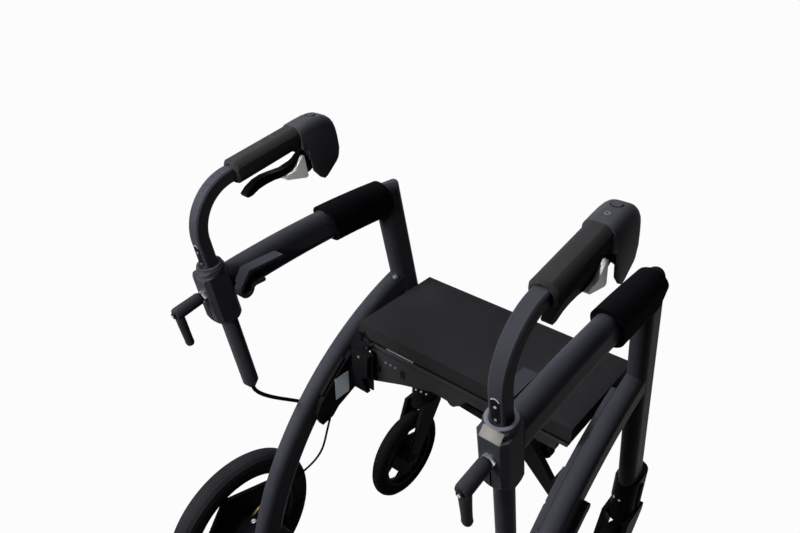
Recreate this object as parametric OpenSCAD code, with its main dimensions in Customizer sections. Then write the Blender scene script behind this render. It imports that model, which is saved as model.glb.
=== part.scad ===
// Rollator transport chair: two tubular side frames, a folding cross brace, a tip-up seat,
// height-adjustable push handles, two driven rear wheels and two swivelling front casters.
// Millimetres. +X is the chair's right, +Y is forward (toward the casters), +Z is up, ground at 0.

/* [Side frame] */
// front-to-back depth of the flat-oval frame tube
tube_depth = 54; // [48:1:60]
// width of the flat-oval frame tube
tube_width = 32; // [28:1:36]
// width of the curved tube, a little less so that its cut end seats on the leg
bend_w = 31; // [26:0.5:31.5]
// wall of the frame tube
tube_wall = 2.5; // [1.5:0.5:4]
// height of the armrest rail's centre line where it meets the leg
rail_z = 768; // [750:1:785]
// radius of the rail's slight upward bow
rail_r = 2000; // [1800:50:2600]
// highest place of that bow, forward of the middle
bow_y = 40; // [30:1:50]
// where the rail and front leg centre lines meet
elbow_y = 155; // [140:1:170]
// forward lean of the front leg in degrees
leg_lean = 14.2; // [12:0.1:16]
// height of the front leg's lower end
leg_foot_z = 276; // [268:1:290]
// radius of the curved tube's centre line
sweep_r = 548; // [535:1:575]
// upper end of that tube in the front leg, forward of the middle
weld_y = 201.1; // [196:0.1:206]
// upper end of that tube, above the ground
weld_z = 585.5; // [578:0.1:592]

/* [Armrest] */
// rear end of the left foam sleeve, at half its height
sleeve_rear_y = 6; // [-40:1:20]
// front end of the left foam sleeve, at half its height
sleeve_front_y = 145; // [110:1:148]
// slant of the sleeve's ends in degrees
sleeve_slant = 21; // [0:1:26]
// how far the right sleeve is pushed ahead of the left one
sleeve_shift = 20; // [0:1:24]
// thickness of the foam
sleeve_wall = 7.5; // [5:0.5:9]

/* [Handle post] */
// post axis at the clamp top, from the middle (rearward is negative)
post_y = -220; // [-230:1:-210]
// height of the clamp top
post_z = 786; // [770:1:800]
// rearward lean of the post in degrees
post_lean = 10.1; // [6:0.1:14]
// post and handle tube diameter
post_d = 25; // [22:0.5:28]
// wall of the post and handle tube
post_wall = 2.5; // [1.5:0.5:4]
// gap all round between the post and its clamp
post_gap = 0.3; // [0.2:0.05:0.6]
// length of the clamp block along the post
clamp_len = 86; // [80:1:96]
// clamp block across its flats
clamp_w = 42; // [40:1:48]
// how far the lower post reaches below the clamp top
post_reach = 225; // [200:1:250]
// where lower post and handle tube meet, below the clamp top
post_split = 60; // [50:1:70]

/* [Handle] */
// straight rise of the handle tube above the clamp top
handle_rise = 49; // [40:1:80]
// bend radius of the handle tube
handle_bend = 68; // [55:1:80]
// length of the hand grip
grip_len = 116; // [95:1:124]
// hand grip across
grip_d = 33; // [30:0.5:36]
// side width of the brake housing
housing_w = 40; // [36:1:46]
// width of the brake lever blade
blade_w = 13; // [10:0.5:15]

/* [Seat] */
// middle of the chair to the side edge of the seat pad
seat_half = 212; // [180:1:240]
// from that edge to the plane of each side frame
seat_side = 28; // [28:1:40]
// rear edge of the seat pad
seat_rear_y = 40; // [30:1:60]
// front edge of the seat pad
seat_front_y = 247; // [236:1:252]
// height of the seat pad's top
seat_z = 570; // [560:1:585]
// thickness of the seat pad at its edge
pad_t = 26; // [20:1:30]
// extra height of the pad's crown in the middle
pad_crown = 3; // [1:0.5:6]
// thickness of the board under the pad
board_t = 12; // [8:1:14]
// from the pad's left edge in to the seat's hinge line
hinge_in = 10; // [8:1:16]

/* [Cross brace] */
// from the seat pad's edge in to each arm's outer pivot
arm_in = 47; // [40:1:60]
// height of the outer pivots
arm_z = 494; // [490:1:498]
// slope of the arms when the chair stands open, in degrees
arm_slope = 4.5; // [3:0.1:6]
// thickness of an arm
arm_t = 12; // [9:0.5:12]
// pin diameter
pin_d = 10; // [8:0.5:12]
// gap all round a turning pin
pin_gap = 0.3; // [0.2:0.05:0.5]

/* [Wheels] */
// rear wheel radius
rear_r = 161; // [150:1:165]
// rear tyre width
rear_w = 40; // [34:1:44]
// plane of the side frame to the middle of a rear wheel
rear_out = 84; // [80:1:92]
// rear axle, from the middle (rearward is negative)
axle_y = -187.7; // [-195:0.1:-180]
// how far the rear axle sits ahead of the curved tube's end
axle_ahead = 13; // [5:1:15]
// rear axle diameter
axle_d = 12; // [10:0.5:14]
// caster wheel radius
caster_r = 105; // [97:1:106]
// caster tyre width
caster_w = 30; // [26:1:34]
// caster swivel axis, forward of the middle
caster_y = 273; // [268:1:278]
// how far the caster wheel trails behind its swivel axis
trail = 65; // [55:1:72]

/* [Cables] */
// outside diameter of the brake cable
cable_d = 6; // [5:0.5:7]
// outside diameter of the hub lead
lead_d = 4; // [3:0.5:5]

/* [Hidden] */
$fn = 64;
E = 0.01;
// the rail's bow: centre of its circle, and how steeply it reaches the leg
rail_c = [bow_y, rail_z - sqrt(rail_r * rail_r - pow(elbow_y - bow_y, 2))];
mitre = (90 - leg_lean + asin((elbow_y - bow_y) / rail_r)) / 2;
leg_len = (rail_z - leg_foot_z) / cos(leg_lean);
side_x = seat_half + seat_side;
hinge_x = seat_half - hinge_in;
arm_x = seat_half - arm_in;
rear_x = side_x + rear_out;
axle_z = rear_r;
// the curve's centre, from its two ends and its radius
bend_top = [weld_y, weld_z];
bend_end = [axle_y - axle_ahead, axle_z];
bend_dir = (bend_top - bend_end) / norm(bend_top - bend_end);
bend_c = (bend_top + bend_end) / 2
  + sqrt(sweep_r * sweep_r - pow(norm(bend_top - bend_end) / 2, 2)) * [bend_dir[1], -bend_dir[0]];
sweep_y = bend_c[0];
sweep_z = bend_c[1];
sweep_start = atan2(weld_z - sweep_z, weld_y - sweep_y);
axle_a = atan2(axle_z - sweep_z, bend_end[0] - sweep_y);
inner_x = side_x - tube_width / 2;
bend_in = side_x - bend_w / 2;
bend_out = side_x + bend_w / 2;
plate_in = bend_in - 12;
grip_v = handle_rise + handle_bend;
grip_f0 = handle_bend + 7;
grip_f1 = grip_f0 + grip_len;
button_f = grip_f1 + 41;
clamp_back = 3;
clamp_front = clamp_w / 2 - clamp_back;
clamp_rear = clamp_w / 2 + clamp_back;
hub_f = clamp_rear + 5;
drum_r = 50;
stud_v = -30;
centre_z = arm_z + arm_x * tan(arm_slope);
arm_y0 = 38;
arm_y1 = arm_y0 + arm_t + 1;
strut_y0 = arm_y1 + arm_t + 1;
board_z = seat_z - pad_t - board_t;
hinge_z = seat_z - pad_t / 2 - 5;
fork_w = caster_w + 8;
head_z = 236;
wheel_y = caster_y - trail;
head_l = 74;
head_y = caster_y + 8;
mid_y = (axle_y - rear_r + head_y + head_l / 2) / 2;

// Helpers

// draws a profile given as (forward, up) and gives it width along X
module sagittal() { rotate([90, 0, 90]) children(); }

// draws a profile given as (across, up) and gives it depth along -Y
module frontal() { rotate([90, 0, 0]) children(); }

// coordinates of a handle post: X across, Y forward of the post, Z up along it from the clamp top
module on_post() { translate([side_x, post_y, post_z]) rotate([post_lean, 0, 0]) children(); }

// puts the origin under the middle of the chair's length
module placed() { translate([0, -mid_y, 0]) children(); }

module mirrored() { mirror([1, 0, 0]) placed() children(); }

// flat oval with its long way along X
module oval(d, w) {
  square([d - w, w], center = true);
  for (e = [-1, 1]) translate([e * (d - w) / 2, 0]) circle(d = w);
}

// square with cut-round corners
module soft_square(w, corner) {
  intersection() {
    square([w, w], center = true);
    circle(d = w * sqrt(2) - corner);
  }
}

// everything ahead of or behind the mitre where rail and leg meet
module mitre_half(s) {
  translate([side_x, elbow_y, rail_z]) rotate([-mitre, 0, 0])
    translate([-100, s > 0 ? 0 : -600, -600]) cube([200, 600, 1200]);
}

module rail_bar(d, w, y0, y1) {
  a0 = acos((y1 - rail_c[0]) / rail_r);
  a1 = acos((y0 - rail_c[0]) / rail_r);
  sagittal() translate([rail_c[0], rail_c[1], side_x]) rotate([0, 0, a0])
    rotate_extrude(angle = a1 - a0, $fn = 400) translate([rail_r, 0]) oval(d, w, $fn = 64);
}

module leg_bar(d, w, below) {
  translate([side_x, elbow_y, rail_z]) rotate([leg_lean, 0, 0])
    translate([0, 0, -leg_len - below]) linear_extrude(leg_len + below + 60) rotate([0, 0, 90]) oval(d, w);
}

module sweep_bar(d, w, a0, a1) {
  sagittal() translate([sweep_y, sweep_z, side_x]) rotate([0, 0, a0])
    rotate_extrude(angle = a1 - a0, $fn = 400) translate([sweep_r, 0]) oval(d, w, $fn = 64);
}

// round tube through hand-picked points, with sides of equal angle
function turn_at(p, i) = let (a = p[max(i - 1, 0)], b = p[min(i + 1, len(p) - 1)]) (b - a) / norm(b - a);
module cord(p, d, sides = 10) {
  ring = [for (i = [0 : len(p) - 1])
    let (t = turn_at(p, i), u0 = cross(t, [0.9, 0.1, 0.42]), u = u0 / norm(u0), w = cross(t, u))
    for (k = [0 : sides - 1]) p[i] + d / 2 * (u * cos(360 * k / sides) + w * sin(360 * k / sides))];
  n = len(p);
  walls = [for (i = [0 : n - 2]) for (k = [0 : sides - 1])
    let (a = i * sides + k, b = i * sides + (k + 1) % sides) [a, a + sides, b + sides, b]];
  first = [for (k = [0 : sides - 1]) k];
  last = [for (k = [sides - 1 : -1 : 0]) (n - 1) * sides + k];
  polyhedron(ring, concat([first], walls, [last]), convexity = 6);
}

// Side frame, drawn on the right side

module rail() {
  difference() {
    rail_bar(tube_depth, tube_width, post_y - 20, elbow_y + 60);
    rail_bar(tube_depth - 2 * tube_wall, tube_width - 2 * tube_wall, post_y - 60, elbow_y + 90);
    mitre_half(1);
    on_post() translate([-60, clamp_front - 200, -200]) cube([120, 200, 400]);
  }
}

module leg() {
  difference() {
    leg_bar(tube_depth, tube_width, 0);
    leg_bar(tube_depth - 2 * tube_wall, tube_width - 2 * tube_wall, 40);
    mitre_half(-1);
  }
}

module sweep_tube() {
  difference() {
    sweep_bar(tube_depth, bend_w, sweep_start, axle_a);
    sweep_bar(tube_depth - 2 * tube_wall, bend_w - 2 * tube_wall, sweep_start - 3, axle_a + 3);
    leg_bar(tube_depth, tube_width, 0);
    translate([bend_in - 5, axle_y, axle_z]) rotate([0, 90, 0]) cylinder(r = hub_r(), h = bend_w + 10);
  }
}

function hub_r() = tube_depth / 2 + axle_ahead + 6;

// foam sleeve with slanted ends, pushed forward by shift
module sleeve(shift) {
  difference() {
    rail_bar(tube_depth + 2 * sleeve_wall, tube_width + 2 * sleeve_wall, sleeve_rear_y - 30,
      sleeve_front_y + 70);
    rail_bar(tube_depth, tube_width, sleeve_rear_y - 60, sleeve_front_y + 100);
    translate([side_x, sleeve_rear_y + shift, rail_z]) rotate([sleeve_slant, 0, 0])
      translate([-100, -200, -200]) cube([200, 200, 400]);
    translate([side_x, sleeve_front_y + shift, rail_z]) rotate([sleeve_slant, 0, 0])
      translate([-100, 0, -200]) cube([200, 200, 400]);
    translate([0, -0.6, 0]) mitre_half(1);
  }
}

module clamp() {
  bore = post_d + 2 * post_gap;
  on_post() difference() {
    union() {
      intersection() {
        translate([0, 0, -clamp_len]) linear_extrude(clamp_len) intersection() {
          translate([0, -clamp_back]) square([clamp_w - 4, clamp_w], center = true);
          translate([0, -clamp_back]) rotate([0, 0, 45]) square(clamp_w * 1.14, center = true);
        }
        union() {
          translate([0, 0, -clamp_len + 16]) cylinder(d = clamp_w * 1.4, h = clamp_len);
          translate([0, 0, -clamp_len]) cylinder(d1 = clamp_w * 0.94, d2 = clamp_w * 1.4, h = 16 + E);
        }
      }
      // collar ring on top, flat where the rail meets it
      difference() {
        union() {
          cylinder(d = clamp_w - 2, h = 7);
          translate([0, 0, 7 - E]) cylinder(d1 = clamp_w - 2, d2 = clamp_w - 8, h = 4);
        }
        translate([-clamp_w, clamp_front, -1]) cube([2 * clamp_w, clamp_w, 20]);
      }
    }
    translate([0, 0, -clamp_len - 20]) cylinder(d = bore, h = clamp_len + 60);
    // the chamfer on the upper rear edge
    translate([0, -clamp_rear, -2]) rotate([38, 0, 0]) translate([-50, -40, 0]) cube([100, 60, 60]);
    // stud hole
    translate([0, -clamp_rear - 5, stud_v]) rotate([-90, 0, 0]) cylinder(d = 8, h = 14);
    // split below, so that the block can pinch the post
    translate([-1, -clamp_w, -clamp_len - 1]) cube([2, clamp_w - 8, 40]);
  }
}

module stud() {
  on_post() translate([0, -clamp_rear, stud_v]) rotate([90, 0, 0]) {
    linear_extrude(5) circle(d = 17, $fn = 6);
    translate([0, 0, -4]) cylinder(d = 8, h = 48);
    translate([0, 0, 50.6]) cylinder(d = 9, h = 2.4);
    translate([0, 0, 43]) cylinder(d = 6, h = 8);
  }
}

// bent strap: flat bar along the rail, a rear slope, a round loop and a lip that points forward
module hook() {
  w = 19;
  slope = 49.8;
  loop = [-8, -4.6];
  difference() {
    translate([inner_x - w, 0, 0]) sagittal() linear_extrude(w) translate([post_y + 39, rail_z - 12]) {
      polygon([loop + [-8 * sin(slope), 8 * cos(slope)] - [cos(slope), sin(slope)], [1.4, 19],
        [66, 19], [62, 24], [-0.9, 24], loop + [-13 * sin(slope), 13 * cos(slope)] - [cos(slope), sin(slope)]]);
      difference() {
        translate(loop) circle(r = 13);
        translate(loop) circle(r = 8);
        translate(loop) polygon([[0, 0], [40, 0], [40, 40], [-10, 40], [-40 * sin(slope), 40 * cos(slope)]]);
      }
      polygon([[4.6, -6.5], [8, -4.5], [26, -4.5], [26, 0.5], [3.5, 0.5], [0.2, -4.6], [0.2, -6]]);
    }
    // room for the clamp block
    on_post() translate([-clamp_w / 2 - 1, -60, -clamp_len - 1])
      cube([clamp_w + 2, 61 + clamp_front, clamp_len + 2]);
  }
}

// place on the curve at angle a, as (forward, up), d outside its centre line
function on_curve(a, d = 0) = bend_c + (sweep_r + d) * [cos(a), sin(a)];

// angle on the curve where the cables and the side plate meet it
plate_a = 137;

module side_plate_outline() {
  translate(on_curve(plate_a)) polygon([[55, 114], [85, 114], [93, 4], [47, -14], [31, -28], [5, -32], [-7, -6],
    [19, 46]]);
}

// plate 1 mm clear of the tube, on a strip that follows the tube forward to angle from_a;
// the side with the seat's hinge has room cut for it
module side_plate(from_a, hinge_side) {
  difference() {
    union() {
      translate([plate_in, 0, 0]) sagittal() linear_extrude(11) intersection() {
        side_plate_outline();
        translate(bend_c) circle(r = sweep_r + 9, $fn = 400);
      }
      sagittal() translate([sweep_y, sweep_z, bend_in - 8]) rotate([0, 0, from_a])
        rotate_extrude(angle = 134 - from_a, $fn = 400) translate([sweep_r - 30, 0]) square([44, 8]);
    }
    if (hinge_side) translate([plate_in - 1, seat_rear_y - 10.5, arm_z + 13]) cube([30, 60, 100]);
    // shallow bay for the rating plate
    translate([plate_in - 1, on_curve(plate_a)[0] + 39, on_curve(plate_a)[1] + 2]) cube([2, 38, 50]);
  }
}

// bracket on the left tube that carries the first arm's outer pivot
module left_bracket() {
  translate([0, strut_y0 + 14, 0]) frontal() linear_extrude(14) {
    translate([arm_x, arm_z]) circle(d = pin_d + 20);
    polygon([[arm_x - 10, arm_z - 11], [arm_x + 6, arm_z + 14], [bend_in, arm_z + 36], [bend_in, arm_z + 6]]);
  }
  // foot plate on the tube
  translate([bend_in - 6, strut_y0 - 10, arm_z + 8]) cube([6, 36, 28]);
  // pivot pin toward the arm
  translate([arm_x, 0, arm_z]) rotate([-90, 0, 0]) {
    translate([0, 0, arm_y0 - 1]) cylinder(d = pin_d, h = strut_y0 - arm_y0 + 2);
    translate([0, 0, arm_y0 - 4]) cylinder(d = pin_d + 8, h = 3);
  }
}

// strut on the right side plate that carries the second arm's outer pivot
module right_strut() {
  y0 = arm_y0 - 14;
  translate([0, y0 + 12, 0]) frontal() linear_extrude(12) {
    translate([arm_x, arm_z]) circle(d = pin_d + 14);
    polygon([[arm_x - 29, arm_z + 2], [arm_x - 15, arm_z + 33], [arm_x + 5, arm_z + 14], [plate_in, arm_z - 44],
      [plate_in, arm_z - 70], [plate_in - 14, arm_z - 56]]);
  }
  // foot plate
  translate([plate_in - 6, y0 - 22, arm_z - 56]) cube([6, 34, 58]);
  translate([arm_x, 0, arm_z]) rotate([-90, 0, 0]) {
    translate([0, 0, y0]) cylinder(d = pin_d, h = arm_y1 + arm_t + 1 - y0);
    translate([0, 0, arm_y1 + arm_t + 1 - E]) cylinder(d = pin_d + 8, h = 3);
  }
}

module cable_duct() {
  r = sweep_r - 17;
  sagittal() translate([sweep_y, sweep_z, bend_out]) {
    rotate([0, 0, 128]) rotate_extrude(angle = 26, $fn = 400) translate([r - 8, 0]) square([16, 9]);
    rotate([0, 0, 128]) translate([r, 0, 0]) cylinder(d = 19, h = 9);
    rotate([0, 0, 154]) translate([r, 0, 0]) cylinder(d = 19, h = 9);
  }
}

module rear_hub() {
  translate([0, axle_y, axle_z]) rotate([0, 90, 0]) {
    translate([0, 0, bend_in]) cylinder(r = hub_r(), h = bend_w);
    translate([0, 0, bend_in - 9]) cylinder(d = 30, h = 9 + E);
    // drive and brake drum
    translate([0, 0, bend_out - E]) cylinder(r = drum_r, h = rear_x - rear_w / 2 - bend_out - 10);
    translate([0, 0, bend_out]) cylinder(r = drum_r - 6, h = rear_x - rear_w / 2 - bend_out - 4);
    // axle and its end nut
    translate([0, 0, bend_in]) cylinder(d = axle_d, h = rear_x + rear_w / 2 - 3 - bend_in);
    translate([0, 0, rear_x + rear_w / 2 - 3.4]) cylinder(d = 22, h = 4.4);
  }
}

module caster_head() {
  difference() {
    union() {
      translate([side_x, head_y, head_z]) linear_extrude(78) rotate([0, 0, 90]) oval(head_l, 44);
      // side bumpers
      for (e = [-1, 1]) translate([side_x + e * 18, caster_y + 2, head_z + 10])
        cylinder(d = 17, h = 52);
    }
    leg_bar(tube_depth, tube_width, 0);
    translate([side_x, caster_y, head_z - 1]) cylinder(d = 16 + 2 * pin_gap, h = 29);
    // sloped top
    translate([side_x - 60, caster_y - 60, head_z + 66]) rotate([leg_lean + 14, 0, 0]) cube([120, 160, 60]);
  }
}

// Parts of the left frame only

module small_box() {
  // body with a cut lower corner, a cap, and a flange on the side plate
  translate([-plate_in + 7, arm_y0 - 24, arm_z - 47]) {
    difference() {
      cube([37, 9, 68]);
      translate([37, -1, 0]) rotate([0, -30, 0]) cube([20, 20, 30]);
    }
    translate([-1, -1, 70]) cube([40, 10, 11]);
    translate([6, 2, 67]) cube([24, 6, 4]);
    translate([-7, 1, 20]) cube([7 + E, 8, 24]);
  }
}

module hinge_plates() {
  // rear plate stands on the curved tube, front plate on an arm from the leg
  for (y = [seat_rear_y - 10, seat_front_y + 4]) translate([0, y + 6, 0]) frontal() linear_extrude(6) {
    translate([-hinge_x, hinge_z]) circle(d = 14);
    polygon([[-inner_x, arm_z + 14], [-inner_x + 10, arm_z + 14], [-hinge_x + 7, hinge_z],
      [-hinge_x - 7, hinge_z], [-inner_x, hinge_z - 24]]);
  }
  // cover plate with a screw hole beside the rear plate, over the panel's left end
  translate([0, seat_rear_y - 10, 0]) frontal() linear_extrude(4) difference() {
    polygon([[-seat_half, arm_z + 23], [-arm_x - 13, arm_z + 27], [-arm_x - 10, board_z + 11],
      [-seat_half, board_z + 13]]);
    translate([-arm_x - 18, board_z + 4]) circle(d = 7);
  }
  from = elbow_y + (rail_z - arm_z - 25) * tan(leg_lean) - 12;
  translate([-inner_x, from, arm_z + 14]) cube([8, seat_front_y + 10 - from, 22]);
  for (y = [[seat_rear_y - 10, seat_rear_y], [seat_front_y, seat_front_y + 10]])
    translate([-hinge_x, y[0], hinge_z]) rotate([-90, 0, 0]) cylinder(d = 7, h = y[1] - y[0]);
}

// hub lead: leaves the side plate, hangs ahead of the curved tube and crosses under it to the drum
lead_end = [axle_y + 7, axle_z + drum_r + lead_d / 2 + 1.5] - bend_c;
function ease(t) = let (u = min(max(t, 0), 1)) u * u * (3 - 2 * u);
function lead_pt(s) = let (a = plate_a + s * (atan2(lead_end[1], lead_end[0]) - plate_a),
    d = (1 - s) * (-tube_depth / 2 - 3) + s * (norm(lead_end) - sweep_r) - 35 * sin(180 * s),
    q = on_curve(a, d))
  [-plate_in + lead_d / 2 + 0.6 - 63 * ease((s - 0.22) / 0.75), q[0], q[1]];
lead_path = [for (k = [0 : 14]) lead_pt(k / 14)];

function post_pt(f, v, x = 0) = [side_x + x, post_y + f * cos(post_lean) - v * sin(post_lean),
  post_z + f * sin(post_lean) + v * cos(post_lean)];
// brake cable: straight out of the post, then over to the top edge of the duct
cable_in = post_pt(0, -post_reach - 7);
cable_0 = post_pt(0, -post_reach - 16);
cable_1 = post_pt(0, -post_reach - 46);
cable_3 = let (q = on_curve(plate_a, cable_d / 2 - 11)) [bend_out + 4.5, q[0], q[1]];
cable_2 = let (q = on_curve(plate_a, 30)) [bend_out + 8, q[0], q[1]];
function bend_pt(t) = let (u = 1 - t) u * u * u * cable_0 + 3 * u * u * t * cable_1 + 3 * u * t * t * cable_2
  + t * t * t * cable_3;
cable_path = concat([cable_in], [for (k = [0 : 12]) bend_pt(k / 12)]);

// Handle, drawn on the right post

module post() {
  on_post() {
    difference() {
      translate([0, 0, -post_reach]) cylinder(d = post_d, h = post_reach - post_split - 0.3);
      translate([0, 0, -post_reach - 1]) cylinder(d = post_d - 2 * post_wall, h = post_reach);
    }
    // end sleeve that the cable leaves by
    difference() {
      union() {
        translate([0, 0, -post_reach]) cylinder(d = post_d - 2 * post_wall, h = 22);
        translate([0, 0, -post_reach - 12]) cylinder(d1 = 12, d2 = post_d, h = 12 + E);
      }
      translate([0, 0, -post_reach - 40]) cylinder(d = 0.6 + cable_d, h = 40 - 12 + 6);
    }
  }
}

// tube with four broad flats and round corners that fit the clamp's bore
module tube_section() {
  flats = post_d * 0.79;
  difference() {
    intersection() {
      circle(d = post_d);
      square(flats, center = true);
    }
    circle(d = flats - 2 * post_wall);
  }
}

module handle_tube() {
  on_post() {
    translate([0, 0, -post_split]) linear_extrude(post_split + handle_rise) tube_section();
    sagittal() translate([handle_bend, handle_rise, 0]) rotate([0, 0, 90]) rotate_extrude(angle = 90)
      translate([handle_bend, 0]) tube_section();
    translate([0, handle_bend, grip_v]) rotate([-90, 0, 0])
      linear_extrude(grip_f1 - handle_bend) tube_section();
  }
}

module grip() {
  on_post() translate([0, grip_f0, grip_v]) rotate([-90, 0, 0]) difference() {
    intersection() {
      linear_extrude(grip_len) soft_square(grip_d, 10);
      union() {
        cylinder(d1 = grip_d * 0.86, d2 = grip_d * 1.3, h = 7);
        translate([0, 0, 7 - E]) cylinder(d = grip_d * 1.3, h = grip_len);
      }
    }
    translate([0, 0, -1]) cylinder(d = post_d, h = grip_len + 2);
  }
}

lever_pivot = [grip_f1 + 29, grip_v - 41];

module brake_housing() {
  on_post() difference() {
    intersection() {
      translate([-housing_w / 2, 0, 0]) sagittal() translate([grip_f1, grip_v]) linear_extrude(housing_w)
        polygon([[0, 16.3], [44, 15.5], [56, 12], [65, 5], [72, -7], [75, -26], [75, -50], [72, -57], [30, -80],
        [22, -76], [10, -58], [9, -38], [9, -21], [0, -18]]);
      // rounded top and drawn-in sides, seen from the front
      translate([0, grip_f1 + 150, grip_v]) frontal() linear_extrude(200) {
        intersection() {
          translate([0, -2]) circle(d = housing_w + 2);
          translate([-housing_w / 2, -30]) square([housing_w, 60]);
        }
        polygon([[-housing_w / 2 + 2, -92], [housing_w / 2 - 2, -92], [housing_w / 2, -4],
          [-housing_w / 2, -4]]);
      }
    }
    // slot for the lever root
    translate([-blade_w / 2 - 1.5, grip_f1 + 5, grip_v - 70]) cube([blade_w + 3, 51, 48]);
    // button well
    translate([0, button_f, grip_v + 8]) cylinder(d = 12.6, h = 20);
  }
  // lever pin
  on_post() translate([-housing_w / 2 + 6, lever_pivot[0], lever_pivot[1]]) rotate([0, 90, 0])
    cylinder(d = 6, h = housing_w - 12);
}

// underside of the lever blade, forward and up from its pivot
lever_under = [[-112, -1.5], [-98, -1], [-82, -2.5], [-62, -7], [-42, -12], [-20, -14]];

module brake_lever() {
  p = lever_pivot;
  on_post() translate([-blade_w / 2, 0, 0]) sagittal() linear_extrude(blade_w) difference() {
    union() {
      translate(p) circle(d = 16);
      translate(p) polygon(concat([[6, 5], [-10, 13], [-24, 12], [-42, 6], [-62, 5], [-82, 9], [-98, 11.5],
        [-112, 11], [-126, 7], [-136, 1], [-134, -4], [-126, -5]], lever_under, [[-2, -8]]));
    }
    translate(p) circle(d = 6 + 2 * pin_gap);
  }
}

module lever_saddle() {
  p = lever_pivot;
  w = blade_w + 12;
  on_post() difference() {
    translate([-w / 2, 0, 0]) sagittal() linear_extrude(w) translate(p)
      polygon([[-25, 11], [-29, 11], [-48, -4], [-69, -4.5], [-66, -10], [-29, -25], [-25, -24]]);
    translate([-blade_w / 2, 0, 0]) sagittal() linear_extrude(blade_w) translate(p)
      polygon(concat([[20, 40], [-112, 40]], lever_under, [[20, -14]]));
  }
}

module button() {
  on_post() translate([0, button_f, grip_v + 10.5]) cylinder(d = 12, h = 6.2);
}

module clamp_lever() {
  on_post() translate([0, -hub_f - 0.4, stud_v]) rotate([90, 0, 0]) difference() {
    union() {
      cylinder(d1 = 15, d2 = 17, h = 34);
      translate([0, 0, 34 - E]) cylinder(d = 19, h = 11);
      translate([0, 0, 33]) linear_extrude(12) {
        circle(d = 17);
        polygon([[-8.5, 0], [8.5, 0], [6, -54], [-6, -54]]);
        translate([0, -54]) circle(d = 12);
      }
    }
    translate([0, 0, -1]) cylinder(d = 8 + 2 * pin_gap, h = 60);
    translate([0, 0, 43]) cylinder(d = 9 + 2 * pin_gap, h = 20);
  }
}

// Wheels, drawn on the right side round the X axis

module tyre(r, w, bead) {
  h = w / 2;
  rotate([0, 90, 0]) rotate_extrude()
    polygon([[bead, -h * 0.78], [bead + 4, -h * 0.9], [(r + bead) / 2, -h], [r - 8, -h * 0.9],
      [r - 2.5, -h * 0.6], [r, -h * 0.25], [r, h * 0.25], [r - 2.5, h * 0.6], [r - 8, h * 0.9], [(r + bead) / 2, h],
      [bead + 4, h * 0.9], [bead, h * 0.78]]);
}

module rim(bead, w, hub_rad, hub_w, bore, holes, chord) {
  ring = bead - 12;
  rotate([0, 90, 0]) difference() {
    union() {
      translate([0, 0, -w * 0.39]) difference() {
        cylinder(r = bead, h = w * 0.78);
        translate([0, 0, -1]) cylinder(r = bead - 9, h = w);
      }
      translate([0, 0, -5]) cylinder(r = bead - 4, h = 10);
      translate([0, 0, -hub_w / 2]) cylinder(r = hub_rad, h = hub_w);
    }
    translate([0, 0, -hub_w]) cylinder(d = bore, h = 2 * hub_w);
    for (i = [0 : holes - 1]) rotate([0, 0, 360 / holes * i + 18]) translate([0, 0, -10]) linear_extrude(20)
      intersection() {
        circle(r = ring);
        translate([chord, 5 - chord * tan(180 / holes)]) square([ring, 2 * chord * tan(180 / holes) - 10]);
      }
  }
}

module rear_tyre() { translate([rear_x, axle_y, axle_z]) tyre(rear_r, rear_w, rear_r - 34); }

module rear_rim() {
  translate([rear_x, axle_y, axle_z]) rim(rear_r - 34, rear_w, 30, rear_w - 8, axle_d + 2 * pin_gap, 5, 80);
}

module caster_tyre() { translate([side_x, wheel_y, caster_r]) tyre(caster_r, caster_w, caster_r - 26); }

module caster_rim() {
  translate([side_x, wheel_y, caster_r]) rim(caster_r - 26, caster_w, 17, caster_w, 8 + 2 * pin_gap, 5, 44);
}

module fork() {
  top = head_z - 0.4;
  difference() {
    union() {
      // crown
      translate([side_x, caster_y, top - 20]) linear_extrude(20) rotate([0, 0, 90]) oval(62, 48);
      for (e = [-1, 1]) translate([side_x + (e > 0 ? fork_w / 2 : -fork_w / 2 - 8), 0, 0]) sagittal()
        linear_extrude(8) {
          translate([wheel_y, caster_r]) circle(r = 17);
          polygon([[caster_y - 34, top - 4], [caster_y + 30, top - 4], [caster_y + 30, top - 20],
            [wheel_y + 15, caster_r - 8], [wheel_y - 16, caster_r + 6]]);
        }
    }
    // room for the tyre under the crown
    translate([side_x - fork_w / 2, wheel_y, caster_r]) rotate([0, 90, 0])
      cylinder(r = caster_r + 7, h = fork_w);
  }
  // swivel stem
  translate([side_x, caster_y, top - E]) cylinder(d = 16, h = 27);
  // wheel bolt
  translate([side_x - fork_w / 2 - 10, wheel_y, caster_r]) rotate([0, 90, 0]) cylinder(d = 8, h = fork_w + 20);
  for (e = [-1, 1]) translate([side_x + e * (fork_w / 2 + 10), wheel_y, caster_r]) rotate([0, 90, 0])
    cylinder(d = 14, h = 5, center = true);
}

// Cross brace

module cross_arm_a() {
  color([0.13, 0.13, 0.14]) placed() difference() {
    translate([0, arm_y0 + arm_t, 0]) frontal() linear_extrude(arm_t) {
      polygon([[-arm_x - 16, board_z - 1.5], [-arm_x - 16, arm_z - 33], [-arm_x - 8, arm_z - 34],
        [-arm_x + 56, arm_z - 10], [-42, centre_z - 2], [-12, centre_z - 4], [12, centre_z - 4],
        [28, board_z - 11], [arm_x + 25, board_z - 11], [arm_x + 25, board_z - 1.5]]);
      translate([0, centre_z]) circle(d = pin_d + 10);
    }
    translate([-arm_x, arm_y0 - 1, arm_z]) rotate([-90, 0, 0]) cylinder(d = pin_d + 2 * pin_gap, h = arm_t + 2);
  }
  // centre pin, fixed in this arm
  color([0.55, 0.56, 0.58]) placed() translate([0, arm_y0, centre_z]) rotate([-90, 0, 0]) {
    translate([0, 0, arm_t - E]) cylinder(d = pin_d, h = arm_t + 2 + 2 * E);
    translate([0, 0, 2 * arm_t + 2]) cylinder(d = pin_d + 8, h = 4);
  }
}

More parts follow.
